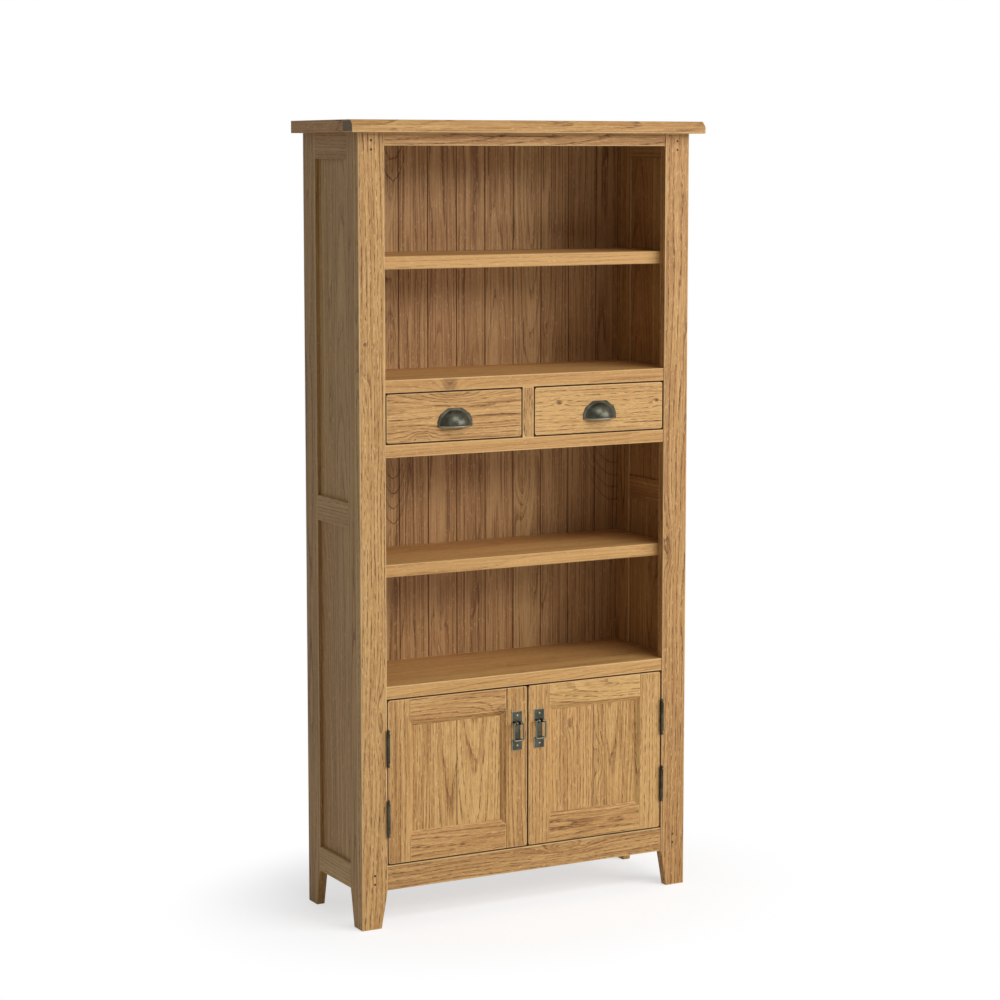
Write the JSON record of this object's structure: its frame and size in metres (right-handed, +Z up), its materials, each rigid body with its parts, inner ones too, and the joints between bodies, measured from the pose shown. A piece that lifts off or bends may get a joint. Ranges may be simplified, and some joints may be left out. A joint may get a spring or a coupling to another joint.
{
  "type": "bookcase",
  "caption": "Tall wooden bookcase with framed sides, open shelves, paired dovetailed drawers and a cupboard with framed doors on butt hinges.",
  "frame": {"origin": "on the floor, under the middle of the top's outline", "axes": "+X to the right seen from the front, +Y to the back, +Z up"},
  "size_m": [0.948, 0.342, 1.899],
  "materials": {
    "oak_frame": "waxed rustic oak",
    "oak_front": "waxed rustic oak",
    "oak_side": "waxed rustic oak",
    "oak_top": "waxed rustic oak",
    "oak_shelf": "waxed rustic oak",
    "oak_back": "waxed oak boards",
    "oak_inner": "bare oak",
    "aged_pewter": "dark aged pewter",
    "steel": "plain steel",
    "catch_plastic": "brown plastic"
  },
  "bodies": {
    "case": {"top_front_board": "oak_top", "top_panel": "oak_top", "top_end_strips": "oak_top", "front_stile_left": "oak_frame", "front_stile_right": "oak_frame", "front_top_rail": "oak_frame", "plinth_rail": "oak_frame", "frame_pegs": "oak_frame", "side_stile_front_left": "oak_side", "side_stile_back_left": "oak_side", "side_rails_left": "oak_side", "side_panel_upper_left": "oak_side", "side_panel_lower_left": "oak_side", "side_stile_front_right": "oak_side", "side_stile_back_right": "oak_side", "side_rails_right": "oak_side", "side_panel_upper_right": "oak_side", "side_panel_lower_right": "oak_side", "back_boards": "oak_back", "cupboard_top_board": "oak_shelf", "drawer_bottom_board": "oak_shelf", "drawer_top_board": "oak_shelf", "lower_shelf": "oak_shelf", "upper_shelf": "oak_shelf", "cupboard_floor": "oak_shelf", "drawer_divider": "oak_frame", "drawer_guides": "oak_inner", "shelf_pins": "steel", "hinge_frame_leaves": "aged_pewter", "hinge_pins": "aged_pewter", "door_catches": "catch_plastic"},
    "left_drawer": {"left_drawer_front": "oak_front", "left_drawer_sides": "oak_inner", "left_drawer_back": "oak_inner", "left_drawer_bottom": "oak_inner", "left_cup_pull": "aged_pewter"},
    "left_door": {"left_door_hinge_stile": "oak_front", "left_door_lock_stile": "oak_front", "left_door_top_rail": "oak_front", "left_door_bottom_rail": "oak_front", "left_door_panel": "oak_front", "left_door_hinge_leaves": "aged_pewter", "left_handle_plate": "aged_pewter", "left_door_strike": "steel"},
    "left_bail": {"left_bail": "aged_pewter"},
    "right_drawer": {"right_drawer_front": "oak_front", "right_drawer_sides": "oak_inner", "right_drawer_back": "oak_inner", "right_drawer_bottom": "oak_inner", "right_cup_pull": "aged_pewter"},
    "right_door": {"right_door_hinge_stile": "oak_front", "right_door_lock_stile": "oak_front", "right_door_top_rail": "oak_front", "right_door_bottom_rail": "oak_front", "right_door_panel": "oak_front", "right_door_hinge_leaves": "aged_pewter", "right_handle_plate": "aged_pewter", "right_door_strike": "steel"},
    "right_bail": {"right_bail": "aged_pewter"}
  },
  "joints": [
    {"name": "left_drawer_slide", "type": "slide", "parent": "case", "child": "left_drawer", "axis": [0, -1, 0], "range_m": [0, 0.2]},
    {"name": "left_door_hinge", "type": "hinge", "parent": "case", "child": "left_door", "pos_m": [-0.3775, -0.1442, 0.349], "axis": [0, 0, -1], "range_deg": [0, 170]},
    {"name": "left_bail_pivot", "type": "hinge", "parent": "left_door", "child": "left_bail", "pos_m": [-0.0305, -0.1485, 0.459], "axis": [-1, 0, 0], "range_deg": [0, 110]},
    {"name": "right_drawer_slide", "type": "slide", "parent": "case", "child": "right_drawer", "axis": [0, -1, 0], "range_m": [0, 0.2]},
    {"name": "right_door_hinge", "type": "hinge", "parent": "case", "child": "right_door", "pos_m": [0.3775, -0.1442, 0.349], "axis": [0, 0, 1], "range_deg": [0, 170]},
    {"name": "right_bail_pivot", "type": "hinge", "parent": "right_door", "child": "right_bail", "pos_m": [0.0305, -0.1485, 0.459], "axis": [-1, 0, 0], "range_deg": [0, 110]}
  ]
}
